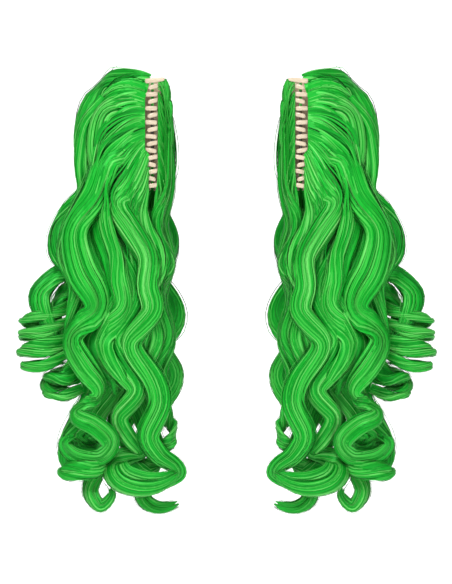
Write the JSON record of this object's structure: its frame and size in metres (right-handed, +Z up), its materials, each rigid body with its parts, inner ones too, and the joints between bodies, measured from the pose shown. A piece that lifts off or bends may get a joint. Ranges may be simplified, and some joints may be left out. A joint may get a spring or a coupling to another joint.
{
  "type": "costume wig",
  "caption": "Pair of clip-on curly hair pigtails: long curled locks sewn round a two-jaw spring hair clip with interlocking teeth and thumb levers.",
  "frame": {"origin": "middle of the round tunnel of the left clip, on the tunnel's axis", "axes": "+Z up along both clips and their hinges, -Y is the toothed side that faces forward, +X towards the right pigtail"},
  "size_m": [0.4118, 0.0989, 0.4439],
  "materials": {
    "clip_plastic": "moulded cream plastic, softly glossy",
    "pin_steel": "drawn wire",
    "spring_steel": "spring wire",
    "ribbon_satin": "tan woven ribbon",
    "weft_track": "machine-sewn weft tape",
    "thread": "twisted sewing thread",
    "hair": "bright green synthetic fibre with a satin sheen"
  },
  "bodies": {
    "left_pigtail": {"left_fixed_jaw": "clip_plastic", "left_hinge_pin": "pin_steel", "left_spring": "spring_steel", "left_fixed_ribbon": "ribbon_satin", "left_fixed_wefts": "weft_track", "left_fixed_stitches": "thread", "left_long_front_lock": "hair", "left_crown_lock": "hair", "left_cheek_lock": "hair", "left_top_crown_lock": "hair", "left_temple_lock": "hair", "left_under_lock": "hair", "left_nape_lock": "hair", "left_back_crown_lock": "hair", "left_back_middle_lock": "hair", "left_back_side_lock": "hair", "left_back_nape_lock": "hair"},
    "left_swing_jaw": {"left_moving_jaw": "clip_plastic", "left_moving_ribbon": "ribbon_satin", "left_moving_wefts": "weft_track", "left_moving_stitches": "thread", "left_fringe_lock": "hair", "left_side_lock": "hair", "left_rear_side_lock": "hair"},
    "right_pigtail": {"right_fixed_jaw": "clip_plastic", "right_hinge_pin": "pin_steel", "right_spring": "spring_steel", "right_fixed_ribbon": "ribbon_satin", "right_fixed_wefts": "weft_track", "right_fixed_stitches": "thread", "right_long_front_lock": "hair", "right_crown_lock": "hair", "right_cheek_lock": "hair", "right_top_crown_lock": "hair", "right_temple_lock": "hair", "right_under_lock": "hair", "right_nape_lock": "hair", "right_back_crown_lock": "hair", "right_back_middle_lock": "hair", "right_back_side_lock": "hair", "right_back_nape_lock": "hair"},
    "right_swing_jaw": {"right_moving_jaw": "clip_plastic", "right_moving_ribbon": "ribbon_satin", "right_moving_wefts": "weft_track", "right_moving_stitches": "thread", "right_fringe_lock": "hair", "right_side_lock": "hair", "right_rear_side_lock": "hair"}
  },
  "joints": [
    {"name": "left_jaw_hinge", "type": "hinge", "parent": "left_pigtail", "child": "left_swing_jaw", "pos_m": [0, 0.016, 0], "axis": [0, 0, 1], "range_deg": [0, 40], "stiffness_Nm_per_rad": 0.25, "springref_deg": -57.3, "deforming": ["left_spring"]},
    {"name": "right_pigtail_placing", "type": "slide", "parent": "left_pigtail", "child": "right_pigtail", "axis": [1, 0, 0], "range_m": [0, 0.12]},
    {"name": "right_jaw_hinge", "type": "hinge", "parent": "right_pigtail", "child": "right_swing_jaw", "pos_m": [0.149, 0.016, 0], "axis": [0, 0, -1], "range_deg": [0, 40], "stiffness_Nm_per_rad": 0.25, "springref_deg": -57.3, "deforming": ["right_spring"]}
  ]
}
